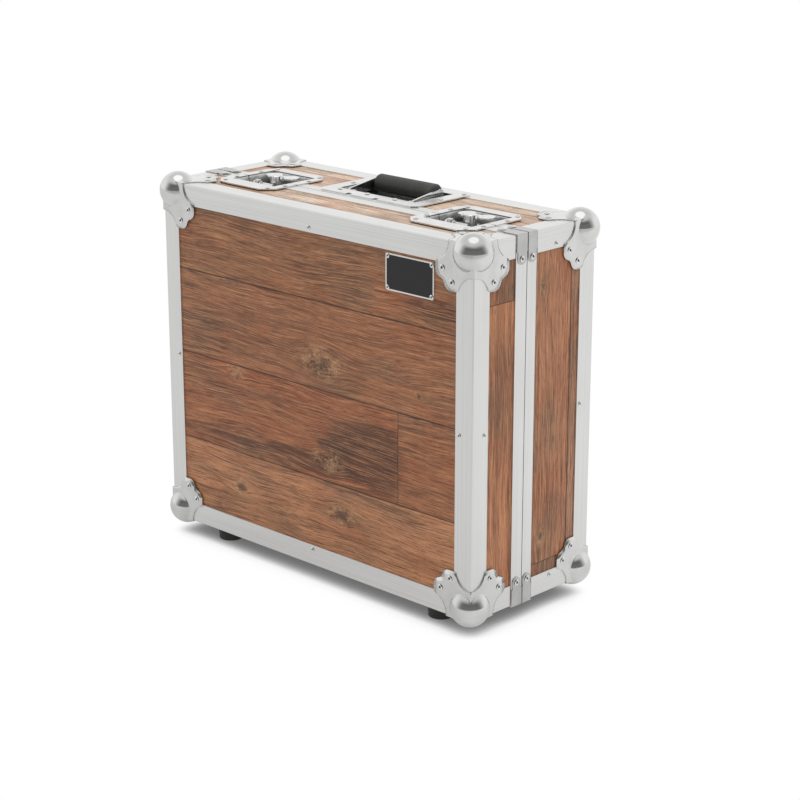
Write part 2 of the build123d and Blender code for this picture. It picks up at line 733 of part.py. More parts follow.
keep(
    "base_foam_collar",
    block(-inner_x, inner_x, collar_front, floor_front, hold_high, under_dishes),
    block(-inner_x, inner_x, collar_front, floor_front, inner_low, hold_low),
    block(-inner_x, -hold_x, collar_front, floor_front, hold_low, hold_high),
    block(hold_x, inner_x, collar_front, floor_front, hold_low, hold_high),
    block(-inner_x, -latch_outer, collar_front, floor_front, under_dishes, inner_high),
    block(-latch_inner, -beside_handle, collar_front, floor_front, under_dishes, inner_high),
    block(beside_handle, latch_inner, collar_front, floor_front, under_dishes, inner_high),
    block(latch_outer, inner_x, collar_front, floor_front, under_dishes, inner_high),
)
pad_front = front_face + panel_inner
keep("lid_foam_pad", block(-inner_x, inner_x, pad_front, pad_front + lid_foam_thickness, inner_low, inner_high))

# Badge plate on the lid's face
badge_x = half_width - badge_from_side
badge_z = top - badge_from_top
badge_y = front_face + edge_wall
badge = block(badge_x - badge_width / 2, badge_x + badge_width / 2, badge_y - badge_sheet, badge_y,
              badge_z - badge_height / 2, badge_z + badge_height / 2)
keep("badge_plate", fillet(badge.edges().filter_by(Axis.Y), badge_round))

# Latches
for hand, place in latch_places.items():
    keep(f"keeper_dish_{hand}", place * keeper_half)
    keep(f"strike_{hand}", place * strike)
    keep(f"latch_dish_{hand}", place * latch_base)
    keep(f"latch_rotor_{hand}", place * rotor)
    keep(f"latch_wing_{hand}", place * wing)
    keep(f"latch_link_{hand}", place * link)
    keep(f"latch_hook_{hand}", place * hook)
    keep(f"latch_spring_{hand}", place * hook_spring)

# Handle
keep("handle_dish", handle_place * handle_dish)
keep("handle_pivots", *[handle_place * piece for piece in handle_pivots])
keep("handle_springs", *[handle_place * piece for piece in handle_springs])
keep("handle_bail", handle_place * bail)
keep("handle_grip", handle_place * grip)

os.makedirs("parts", exist_ok=True)
for name, shape in parts.items():
    export_step(shape, f"parts/{name}.step")
print(len(parts), "parts")
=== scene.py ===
from math import cos, hypot, pi, radians, sin, sqrt

import bmesh
import bpy
import numpy as np
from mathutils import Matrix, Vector


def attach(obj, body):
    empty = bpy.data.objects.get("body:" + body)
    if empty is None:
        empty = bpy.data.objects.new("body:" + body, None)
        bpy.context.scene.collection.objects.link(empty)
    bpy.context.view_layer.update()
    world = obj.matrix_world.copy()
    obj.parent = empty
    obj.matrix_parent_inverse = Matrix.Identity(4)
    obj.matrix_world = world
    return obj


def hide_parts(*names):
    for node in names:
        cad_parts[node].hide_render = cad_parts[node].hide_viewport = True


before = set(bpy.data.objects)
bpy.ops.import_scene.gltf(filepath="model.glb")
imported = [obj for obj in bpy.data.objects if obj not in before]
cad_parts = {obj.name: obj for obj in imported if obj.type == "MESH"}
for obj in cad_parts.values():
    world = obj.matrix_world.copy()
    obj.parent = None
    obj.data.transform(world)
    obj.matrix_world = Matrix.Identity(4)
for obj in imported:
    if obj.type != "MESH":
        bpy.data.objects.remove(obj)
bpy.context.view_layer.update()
scene = bpy.context.scene


# The photographer's set. A long lens stands a little above the case's top, one broad lamp hangs overhead,
# and the pale room is dark behind the camera, which only bright metal picks up. The white floor is clear
# to the camera, so that the lid still shows when it hangs open, and carries a painted contact shadow, darker
# near the case. In reflections the floor shows a painted glow, brighter to the right and darker near the
# camera.
class Shade:
    """A socket in a shader tree, so that maths on it can be written as an expression."""

    def __init__(self, tree, socket=None):
        self.tree = tree
        self.socket = socket

    def node(self, kind, sockets=(), output=0, **settings):
        """Adds a node: its settings first, then the values or links of its sockets."""
        made = self.tree.nodes.new("ShaderNode" + kind)
        for name, value in settings.items():
            setattr(made, name, value)
        for name, value in dict(sockets).items():
            if isinstance(value, Shade):
                self.tree.links.new(value.socket, made.inputs[name])
            else:
                made.inputs[name].default_value = value
        return Shade(self.tree, made.outputs[output] if made.outputs else None)

    def maths(self, operation, *others):
        return self.node("Math", dict(enumerate((self, *others))), operation=operation)

    def __add__(self, other):
        return self.maths("ADD", other)

    def __sub__(self, other):
        return self.maths("SUBTRACT", other)

    def __mul__(self, other):
        return self.maths("MULTIPLY", other)

    def __truediv__(self, other):
        return self.maths("DIVIDE", other)

    def __rsub__(self, other):
        return self.maths("MULTIPLY", -1.0) + other

    def __gt__(self, other):
        return self.maths("GREATER_THAN", other)

    def __lt__(self, other):
        return self.maths("LESS_THAN", other)

    def __abs__(self):
        return self.maths("ABSOLUTE")

    def __rpow__(self, other):
        return self.node("Math", {0: other, 1: self}, operation="POWER")

    __radd__ = __add__
    __rmul__ = __mul__

    def rise(self, low, high):
        """0 below low and 1 above high, with a smooth slope between."""
        return self.node("MapRange", {"Value": self, "From Min": low, "From Max": high},
                         interpolation_type="SMOOTHSTEP")

    def blend(self, first, second):
        """The first colour where this is 0 and the second where it is 1."""
        first, second = ((*c, 1.0) if isinstance(c, tuple) else c for c in (first, second))
        return self.node("Mix", {0: self, 6: first, 7: second}, output=2, data_type="RGBA")

    def xyz(self):
        return [self.node("SeparateXYZ", {0: self}, output=n) for n in range(3)]

    def noise(self, x, y, z, detail=4.0, roughness=0.55, distortion=0.0):
        """Noise whose coordinates are three expressions, each already at its own scale."""
        place = self.node("CombineXYZ", {0: x, 1: y, 2: z})
        return self.node("TexNoise", {"Vector": place, "Scale": 1.0, "Detail": detail,
                                      "Roughness": roughness, "Distortion": distortion})


looking_down = 17.23
heading = 44.04
lens = bpy.data.cameras.new("camera")
lens.sensor_width = 36.0
lens.lens = 95.96
camera = bpy.data.objects.new("camera", lens)
camera.location = (1.840, -1.851, 1.027)
camera.rotation_euler = (radians(90.0 - looking_down), 0.0, radians(heading))
scene.collection.objects.link(camera)
scene.camera = camera
scene.view_settings.view_transform = "Standard"

lamp = bpy.data.lights.new("overhead", "SUN")
lamp.energy = 1.4
lamp.angle = radians(55.0)
overhead = bpy.data.objects.new("overhead", lamp)
overhead.rotation_euler = (radians(-14.0), radians(12.0), 0.0)
overhead.visible_glossy = False
scene.collection.objects.link(overhead)

room = bpy.data.worlds.new("room")
room.use_nodes = True
room.node_tree.nodes.clear()
scene.world = room
sky = Shade(room.node_tree)
east, north, height = sky.node("TexCoord", output="Generated").xyz()
to_camera = sky.node("LightPath", output="Is Camera Ray")
to_gloss = sky.node("LightPath", output="Is Glossy Ray")
diffuse_room = height.rise(0.00, 0.60) + 0.14
camera_side = (east - north).rise(-0.3, 0.9)
dark_room = camera_side * height.rise(-0.02, 0.03) * (1.0 - height.rise(0.50, 0.86))
lamp_patch = height.rise(0.910, 0.945)
mirrored_room = 0.98 - height.rise(0.35, 0.85) * 0.22 - dark_room * 0.80 + lamp_patch * 0.54
light = to_camera + (1.0 - to_camera) * (diffuse_room * (1.0 - to_gloss) + mirrored_room * to_gloss)
background = sky.node("Background", {"Color": sky.node("CombineXYZ", {0: light, 1: light, 2: light})})
sky.node("OutputWorld", {"Surface": background})

black = (0.0, 0.0, 0.0)
white = (1.0, 1.0, 1.0)
far = 30.0
floor_mesh = bpy.data.meshes.new("floor")
floor_corners = [(-far, -far, 0), (far, -far, 0), (far, far, 0), (-far, far, 0)]
floor_mesh.from_pydata(floor_corners, [], [(0, 1, 2, 3)])
floor = bpy.data.objects.new("floor", floor_mesh)
scene.collection.objects.link(floor)
paper = bpy.data.materials.new("white_paper")
paper.use_nodes = True
paper.node_tree.nodes.clear()
sheet = Shade(paper.node_tree)
seen = sheet.node("LightPath", output="Is Camera Ray")
shadow_test = sheet.node("LightPath", output="Is Shadow Ray")
mirrored = sheet.node("LightPath", output="Is Glossy Ray")
from_below = sheet.node("NewGeometry", output="Backfacing")
ground_x, ground_y, ground_z = sheet.node("TexCoord", output="Object").xyz()
paper_grain = sheet.noise(ground_x * 40.0, ground_y * 40.0, 0.0)
# Painted reflection: for glossy rays the floor's white is dimmed and a glow stands in, brighter to the right
# and darker near the camera.
matt_tone = paper_grain * 0.02 + 0.78 - mirrored * 0.48
matt = sheet.node("BsdfDiffuse", {"Color": matt_tone.blend(black, white)})
right_side = (ground_x + ground_y).rise(-1.0, 1.2)
near_camera = (ground_x - ground_y).rise(1.0, 3.5)
glow_tone = mirrored * (0.32 + right_side * 0.13 - near_camera * 0.25)
glow = sheet.node("Emission", {"Color": (*white, 1.0), "Strength": glow_tone})
ground = sheet.node("AddShader", {0: matt, 1: glow})
# Painted shadow: the camera sees through the floor, tinted darker where ambient occlusion finds the case
# near.
open_sky = sheet.node("AmbientOcclusion", {"Distance": 0.10}, output="AO", samples=24)
painted_shadow_tone = (open_sky.rise(0.08, 0.64) * 0.86 + 0.14).maths("MAXIMUM", from_below)
clear = sheet.node("BsdfTransparent", {"Color": painted_shadow_tone.blend(black, white)})
passing = seen + shadow_test + from_below
sheet.node("OutputMaterial", {"Surface": sheet.node("MixShader", {0: passing, 1: ground, 2: clear})})
floor_mesh.materials.append(paper)


# Panels: 9 mm plywood faced with a printed laminate of old planks. The grain runs along the case on the
# face and top, and upright on the sides. Planks butt at dark joints and differ in tone, and the print has
# knots, brushed grain and grey-brown stains under a satin film. The plywood's back is left as birch.
half_width = 0.271
half_depth = 0.108
half_height = 0.230
middle_z = 0.252
half_case = (half_width, half_depth, half_height)
case_middle = (0.0, 0.0, middle_z)
edge_wall = 0.0015
natural_base = 2.718
X, Y, Z = range(3)


def start_material(name):
    """A new material, its empty tree, and Object coordinates as x, y and z."""
    material = bpy.data.materials.new(name)
    material.use_nodes = True
    material.node_tree.nodes.clear()
    shade = Shade(material.node_tree)
    return material, shade, shade.node("TexCoord", output="Object").xyz()


def end_material(shade, colour, bump, depth, strength, **sockets):
    """Closes a tree with a Principled shader, whose other sockets are given by name."""
    values = {name.replace("_", " "): value for name, value in sockets.items()}
    values["Base Color"] = colour
    values["Normal"] = shade.node("Bump", {"Strength": strength, "Distance": depth, "Height": bump})
    shade.node("OutputMaterial", {"Surface": shade.node("BsdfPrincipled", values)})


def laminate(name, grain_axis, across_axis, seed, planks, end_joints=(), knots=(), stains=()):
    """One face's print, with its marks placed along and across the grain.

    planks: (top, colour), going up across the grain. end_joints: (along, bottom, top, colour beyond).
    knots: (along, across, size, darkness). stains: (along, across, length, width, strength).
    """
    material, shade, place = start_material(name)
    along = place[grain_axis]
    across = place[across_axis]

    def oval(middle_along, middle_across, long, wide):
        """Squared distance from a mark's middle, 1 on the rim of its oval."""
        u = (along - middle_along) / long
        v = (across - middle_across) / wide
        return u * u + v * v

    number = seed
    for top, tone in planks[:-1]:
        number = number + (across > top)
    butted = []
    for joint_along, bottom, top, tone in end_joints:
        strip = (across > bottom) * (across < top)
        beyond = strip * (along > joint_along)
        number = number + beyond * 5.0
        butted.append((joint_along, strip, beyond, tone))

    swirl = across
    heart = 0.0
    halo = 0.0
    for knot_along, knot_across, size, darkness in knots:
        near = natural_base ** (oval(knot_along, knot_across, size * 1.7, size) * -1.0)
        swirl = swirl - (across - knot_across) * near * 0.85
        swirl = swirl + (shade.noise(along * 70.0, across * 90.0, number) - 0.5) * near * 0.010
        heart = heart + near.rise(0.72, 0.98) * darkness
        halo = halo + near.rise(0.08, 0.80)

    wander = shade.noise(along * 4.0, across * 9.0, number * 3.1, detail=2.0) - 0.5
    bent = swirl + wander * 0.028
    bands = shade.noise(along * 1.6, bent * 55.0, number * 7.3, detail=5.0, roughness=0.6, distortion=0.3)
    fibres = shade.noise(along * 20.0, bent * 760.0, number * 5.7, detail=5.0, roughness=0.75)
    streaks = shade.noise(along * 8.0, bent * 330.0, number * 2.9, detail=4.0, roughness=0.6)
    pores = shade.noise(along * 70.0, bent * 1500.0, number * 2.3, detail=2.0)
    patches = shade.noise(along * 7.0, across * 18.0, number * 9.1, detail=4.0)
    tints = shade.noise(along * 10.0, across * 22.0, number * 6.1 + 9.0, detail=4.0)
    rings = (bent * 105.0 + wander * 2.0).maths("PINGPONG", 0.5) * 2.0
    joint = 0.0
    for top, tone in planks[:-1]:
        joint = joint + (1.0 - abs(across - top).rise(0.0002, 0.0015))
    for joint_along, strip, beyond, tone in butted:
        joint = joint + (1.0 - abs(along - joint_along).rise(0.0001, 0.0009)) * strip

    colour = planks[0][1]
    for (edge, below), (top, above) in zip(planks, planks[1:]):
        colour = (across > edge).blend(colour, above)
    for joint_along, strip, beyond, tone in butted:
        colour = beyond.blend(colour, tone)
    light_grain = (0.60, 0.29, 0.13)
    dark_grain = (0.045, 0.013, 0.004)
    layers = [(patches.rise(0.46, 0.68), 0.70, (0.150, 0.078, 0.040)),
              (tints.rise(0.48, 0.68), 0.50, (0.330, 0.085, 0.022))]
    for stain_along, stain_across, long, wide, strength in stains:
        ragged = oval(stain_along, stain_across, long, wide) + wander * 2.2 + (tints - 0.5) * 1.6
        layers.append((1.0 - ragged.rise(0.5, 1.3), strength, dark_grain))
    layers += [(1.0 - bands.rise(0.36, 0.54), 0.26, dark_grain),
               (rings.rise(0.72, 1.0) * patches.rise(0.44, 0.60), 0.30, light_grain),
               (streaks.rise(0.52, 0.72), 0.30, light_grain),
               (1.0 - streaks.rise(0.30, 0.48), 0.50, dark_grain),
               (fibres.rise(0.50, 0.64), 0.55, light_grain),
               (1.0 - fibres.rise(0.36, 0.50), 0.72, dark_grain),
               (1.0 - pores.rise(0.36, 0.44), 0.60, dark_grain)]
    if knots:
        blotch = shade.noise(along * 60.0, across * 75.0, number * 1.7, detail=3.0)
        fleck = shade.noise(along * 250.0, across * 330.0, number * 1.3, detail=4.0, roughness=0.7)
        layers += [(halo * blotch.rise(0.47, 0.62), 0.50, (0.43, 0.245, 0.115)),
                   (halo * (1.0 - blotch.rise(0.36, 0.47)), 0.45, (0.075, 0.035, 0.022)),
                   (halo * fleck.rise(0.54, 0.66), 0.50, (0.57, 0.40, 0.22)),
                   (halo * (1.0 - fleck.rise(0.34, 0.46)), 0.45, dark_grain),
                   (heart, 0.80, (0.050, 0.024, 0.012))]
    layers.append((joint, 0.80, (0.024, 0.010, 0.005)))
    for mask, strength, tone in layers:
        colour = (mask * strength).blend(colour, tone)

    skin = 0.0003
    outside = 0.0
    for n in range(3):
        outside = outside + (abs(place[n] - case_middle[n]) > half_case[n] - edge_wall - skin)
    x, y, z = place
    veneer = shade.noise(x * 30.0, y * 30.0, z * 6.0, detail=5.0)
    birch = veneer.rise(0.3, 0.7).blend((0.50, 0.36, 0.22), (0.64, 0.49, 0.33))
    colour = (outside > 0.5).blend(birch, colour)
    rough = fibres.rise(0.3, 0.7) * -0.10 + 0.50 + joint * 0.2
    relief = fibres * 0.5 + bands * 0.3 - joint * 1.5 - (1.0 - pores.rise(0.30, 0.38)) * 0.4
    end_material(shade, colour, bump=relief, depth=0.00025, strength=0.6, Roughness=rough)
    return material


def dress(material, *nodes):
    """Gives a finish to nodes of the CAD frame."""
    for name in nodes:
        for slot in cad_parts[name].material_slots:
            slot.material = material


front_print = laminate(
    "laminate_face", X, Z, seed=1.0,
    planks=[(0.141, (0.475, 0.205, 0.090)), (0.258, (0.330, 0.104, 0.036)),
            (0.3705, (0.302, 0.112, 0.043)), (1.0, (0.275, 0.110, 0.042))],
    end_joints=[(0.1496, 0.141, 0.258, (0.305, 0.108, 0.040))],
    knots=[(0.016, 0.294, 0.023, 0.25), (-0.143, 0.247, 0.011, 0.3), (-0.134, 0.093, 0.013, 0.9),
           (0.050, 0.101, 0.016, 0.8), (0.184, 0.2855, 0.004, 1.0), (0.028, 0.167, 0.016, 0.0)],
    stains=[(0.100, 0.196, 0.075, 0.040, 0.70), (0.045, 0.190, 0.032, 0.010, 0.80),
            (-0.010, 0.160, 0.075, 0.014, 0.60), (0.215, 0.392, 0.060, 0.016, 0.60),
            (-0.170, 0.157, 0.070, 0.010, 0.45), (0.010, 0.286, 0.020, 0.014, 0.45)],
)
dress(front_print, "lid_face_panel")
back_print = laminate(
    "laminate_back", X, Z, seed=21.0,
    planks=[(0.118, (0.290, 0.116, 0.045)), (0.236, (0.455, 0.195, 0.085)),
            (0.352, (0.345, 0.112, 0.040)), (1.0, (0.310, 0.120, 0.048))],
    end_joints=[(-0.082, 0.236, 0.352, (0.305, 0.108, 0.040))],
    knots=[(0.120, 0.300, 0.015, 0.8), (-0.060, 0.170, 0.011, 0.9), (0.040, 0.415, 0.008, 0.6)],
    stains=[(-0.150, 0.190, 0.070, 0.030, 0.4)],
)
dress(back_print, "base_back_panel")
top_print = laminate(
    "laminate_top", X, Y, seed=33.0,
    planks=[(-0.047, (0.66, 0.53, 0.41)), (0.060, (0.62, 0.48, 0.36)), (1.0, (0.64, 0.50, 0.38))],
)
dress(top_print, "lid_top_panel", "base_top_panel")
bottom_print = laminate(
    "laminate_bottom", X, Y, seed=44.0,
    planks=[(0.030, (0.36, 0.15, 0.065)), (1.0, (0.30, 0.12, 0.05))],
)
dress(bottom_print, "lid_bottom_panel", "base_bottom_panel")
lid_side_print = laminate(
    "laminate_lid_side", Z, Y, seed=55.0,
    planks=[(-0.0305, (0.430, 0.168, 0.068)), (1.0, (0.215, 0.090, 0.040))],
    end_joints=[(0.405, -0.2, -0.0305, (0.185, 0.088, 0.042))],
    stains=[(0.300, -0.050, 0.080, 0.030, 0.30)],
)
dress(lid_side_print, "lid_left_panel", "lid_right_panel")
base_side_print = laminate(
    "laminate_base_side", Z, Y, seed=66.0,
    planks=[(0.067, (0.190, 0.092, 0.055)), (1.0, (0.340, 0.168, 0.095))],
    end_joints=[(0.0640, -0.2, 0.067, (0.375, 0.150, 0.068))],
    knots=[(0.412, 0.016, 0.006, 0.8), (0.098, 0.019, 0.008, 0.9)],
    stains=[(0.125, 0.045, 0.030, 0.020, 0.30)],
)
dress(base_side_print, "base_left_panel", "base_right_panel")


# Edge angles and parting profiles: mill-finish aluminium extrusions, mitred at the corners. The die leaves
# long faint lines, and handling leaves a few soft smears.
def aluminium(name, scale):
    """Satin aluminium whose die lines follow the axis with the smallest scale."""
    material, shade, (x, y, z) = start_material(name)
    lines = shade.noise(x * scale[0], y * scale[1], z * scale[2], detail=6.0, roughness=0.7)
    smear = shade.noise(x * 9.0, y * 9.0, z * 9.0, detail=3.0)
    colour = lines.rise(0.3, 0.7).blend((0.735, 0.735, 0.725), (0.83, 0.83, 0.82))
    rough = smear.rise(0.4, 0.7) * 0.10 + 0.30
    end_material(shade, colour, bump=lines, depth=0.00004, strength=0.5, Roughness=rough, Metallic=1.0)
    return material


edge_x = aluminium("aluminium_along_x", (3.0, 900.0, 900.0))
edge_y = aluminium("aluminium_along_y", (900.0, 3.0, 900.0))
edge_z = aluminium("aluminium_along_z", (900.0, 900.0, 3.0))
profile_metal = aluminium("aluminium_profile", (3.0, 900.0, 3.0))
dress(edge_x, "lid_horizontal_edges", "base_horizontal_edges")
dress(edge_y, "lid_short_edges", "base_short_edges")
dress(edge_z, "lid_vertical_edges", "base_vertical_edges")
dress(profile_metal, "lid_parting_profile", "base_parting_profile")


# Ball corners: each is pressed from one bright zinc-plated sheet, a dome with three scalloped leaves. The
# sheet turns out of the dome in a tight crease, and the leaves are notched over each edge of the case.
millimetre = 0.001
ball_radius = 24.28
ball_inset = 13.2
corner_sheet = 1.2
crease = 1.1
leaf_reach = 59.0
leaf_notch = 39.0
shoulder_drop = 2.0
notch_radius = 25.0
lobe_radius = 10.4
lobe_offset = 34.8
crease_height = corner_sheet + crease
crease_end = sqrt((ball_radius + crease) ** 2 - (crease_height + ball_inset) ** 2)
crease_start = crease_end * ball_radius / (ball_radius + crease)


def arc_points(centre, radius, first, last, count):
    turns = np.linspace(first, last, count)
    return [(centre[0] + radius * cos(turn), centre[1] + radius * sin(turn)) for turn in turns]


def leaf_height(u, v):
    """Height of the pressed sheet's outside over the case's plane."""
    reach = hypot(u - ball_inset, v - ball_inset)
    if reach < crease_start or max(u, v) < ball_inset:
        return sqrt(ball_radius ** 2 - reach ** 2) - ball_inset
    if reach < crease_end:
        return crease_height - sqrt(crease ** 2 - (crease_end - reach) ** 2)
    return corner_sheet


def edge_point(v):
    """Where the sheet turns over the case's edge, at a place v along it, found by halving."""
    outer, inner = -12.0, 0.0
    for halving in range(40):
        middle = (outer + inner) / 2
        if middle + leaf_height(middle, v) > 0:
            inner = middle
        else:
            outer = middle
    return (outer, v)


def leaf_loop():
    """The outline of one leaf: over one edge, round the scallops, and back over the other edge."""
    notch_rise = leaf_reach - shoulder_drop - leaf_notch
    shoulder = sqrt(2 * notch_radius * notch_rise - notch_rise * notch_rise)
    notch_end = np.arctan2(notch_rise - notch_radius, shoulder)
    scallops = arc_points((0.0, leaf_notch + notch_radius), notch_radius, -pi / 2, notch_end, 14)
    scallops += [(shoulder + 1.5, leaf_reach - shoulder_drop / 2)]
    scallops += [(shoulder + 3.0, leaf_reach), (shoulder + 7.0, leaf_reach)]
    scallops += arc_points((lobe_offset, leaf_reach - lobe_radius), lobe_radius, pi / 2, radians(20.0), 12)
    scallops += [(45.2, 50.6), (46.0, 48.8), (47.2, 47.2)]
    tip = ball_inset - ball_radius / sqrt(3)
    dome_rim = 26.0
    steps = [*np.linspace(tip, dome_rim, 18), *np.linspace(dome_rim + 2.0, leaf_notch, 6)]
    outline = [edge_point(v) for v in steps] + scallops
    return outline + [(v, u) for u, v in reversed(outline[1:-1])]


def on_corner(point, face, sides):
    """A point near a corner in millimetres, turned to one of its three faces and set on the case."""
    turned = point[-face:] + point[:-face]
    return [case_middle[n] + sides[n] * (half_case[n] - turned[n] * millimetre) for n in range(3)]


def ball_corner_mesh(name, sides):
    """One corner's sheet, on the given sides of the case: rays that leave a pole on each of three faces.

    Rings on the dome draw in towards the pole where the outline comes near it.
    """
    loop = leaf_loop()
    dome_rings = [2.0, 4.5, 7.5, 10.5, 13.0, 15.2, 17.0, 18.3, 19.0, 19.3, 19.6, 19.8]
    dome_rings += [crease_end, crease_end + 0.4]
    leaf_shares = [0.35, 0.7]
    forward = sides[0] * sides[1] * sides[2] < 0
    mesh = bmesh.new()

    def vertex(u, v, face):
        return mesh.verts.new(on_corner([u, v, -leaf_height(u, v)], face, sides))

    for face in range(3):
        pole = vertex(ball_inset, ball_inset, face)
        columns = []
        for u, v in loop:
            reach = hypot(u - ball_inset, v - ball_inset)
            fit = min(1.0, 0.97 * reach / dome_rings[-1])
            stations = [ring * fit for ring in dome_rings]
            rim = stations[-1]
            stations += [rim + (reach - rim) * share for share in leaf_shares]
            du = (u - ball_inset) / reach
            dv = (v - ball_inset) / reach
            column = [vertex(ball_inset + du * way, ball_inset + dv * way, face) for way in stations]
            columns.append(column + [vertex(u, v, face)])
        for column, after in zip(columns, columns[1:] + columns[:1]):
            cells = [(pole, column[0], after[0])]
            cells += [(column[k], column[k + 1], after[k + 1], after[k]) for k in range(len(column) - 1)]
            for cell in cells:
                mesh.faces.new(cell if forward else cell[::-1])
    bmesh.ops.remove_doubles(mesh, verts=mesh.verts, dist=0.01 * millimetre)
    for cell in mesh.faces:
        cell.smooth = True
    made = bpy.data.meshes.new(name)
    mesh.to_mesh(made)
    mesh.free()
    return made


def plain_piece(name, mesh, body):
    """An object at the origin that rides on a body."""
    piece = bpy.data.objects.new(name, mesh)
    scene.collection.objects.link(piece)
    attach(piece, body)
    return piece


def freeze(working):
    """The evaluated mesh of an object with live modifiers, after which the object goes."""
    graph = bpy.context.evaluated_depsgraph_get()
    mesh = bpy.data.meshes.new_from_object(working.evaluated_get(graph))
    bpy.data.objects.remove(working)
    return mesh


bright_zinc, shade, (x, y, z) = start_material("bright_zinc")
bloom = shade.noise(x * 35.0, y * 35.0, z * 35.0, detail=5.0)
scratch = shade.noise(x * 700.0, y * 90.0, z * 700.0, detail=3.0)
zinc_colour = bloom.rise(0.35, 0.7).blend((0.74, 0.74, 0.73), (0.66, 0.665, 0.65))
end_material(shade, zinc_colour, bump=scratch, depth=0.00002, strength=0.3, Metallic=1.0,
             Roughness=bloom.rise(0.4, 0.75) * 0.14 + 0.09)
halves = (("lid", -1), ("base", 1))
for half, y_side in halves:
    for level, z_side in (("top", 1), ("bottom", -1)):
        for hand, x_side in (("left", -1), ("right", 1)):
            name = f"{half}_corner_{level}_{hand}"
            working = bpy.data.objects.new(name, ball_corner_mesh(name, (x_side, y_side, z_side)))
            scene.collection.objects.link(working)
            solidify = working.modifiers.new("sheet", "SOLIDIFY")
            solidify.thickness = (corner_sheet - 0.05) * millimetre
            solidify.offset = -1.0
            pressing = freeze(working)
            pressing.materials.append(bright_zinc)
            piece = plain_piece(name + "_pressing", pressing, half)
            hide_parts(f"{half}_ball_corner_{level}_{hand}")


# Corner clamps: duller stamped zinc-plated sheet, bent round the two bands of the parting line at each
# corner of the case. Each half has its own, and a rivet holds each leg.
stamped_zinc, shade, (x, y, z) = start_material("stamped_zinc")
bloom = shade.noise(x * 60.0, y * 60.0, z * 60.0, detail=5.0)
rolled = shade.noise(x * 40.0, y * 1200.0, z * 40.0, detail=3.0)
clamp_colour = bloom.rise(0.35, 0.7).blend((0.52, 0.525, 0.52), (0.61, 0.61, 0.60))
end_material(shade, clamp_colour, bump=rolled, depth=0.00003, strength=0.4, Metallic=1.0,
             Roughness=bloom * 0.15 + 0.28)
dress(stamped_zinc, "lid_corner_clamps", "base_corner_clamps")


# Rivets: zinc-plated tubular rivets with a low domed head, and a dark disc in the middle as painted shade in
# the bore.
# One tree sets a head on each point and turns it to the point's own direction.
rivet_metal, shade, (x, y, z) = start_material("rivet_metal")
# Painted shade: a dark disc in each head's middle stands in for the shade down its bore.
bore_shade = shade.node("Attribute", output="Fac", attribute_name="bore_shade")
bloom = shade.noise(x * 300.0, y * 300.0, z * 300.0, detail=3.0)
head_colour = bloom.blend((0.78, 0.78, 0.77), (0.88, 0.88, 0.87))
end_material(shade, bore_shade.blend(head_colour, (0.045, 0.045, 0.043)), bump=bloom, depth=0.00002,
             strength=0.3, Metallic=1.0 - bore_shade * 0.8, Roughness=bore_shade * 0.4 + 0.22)


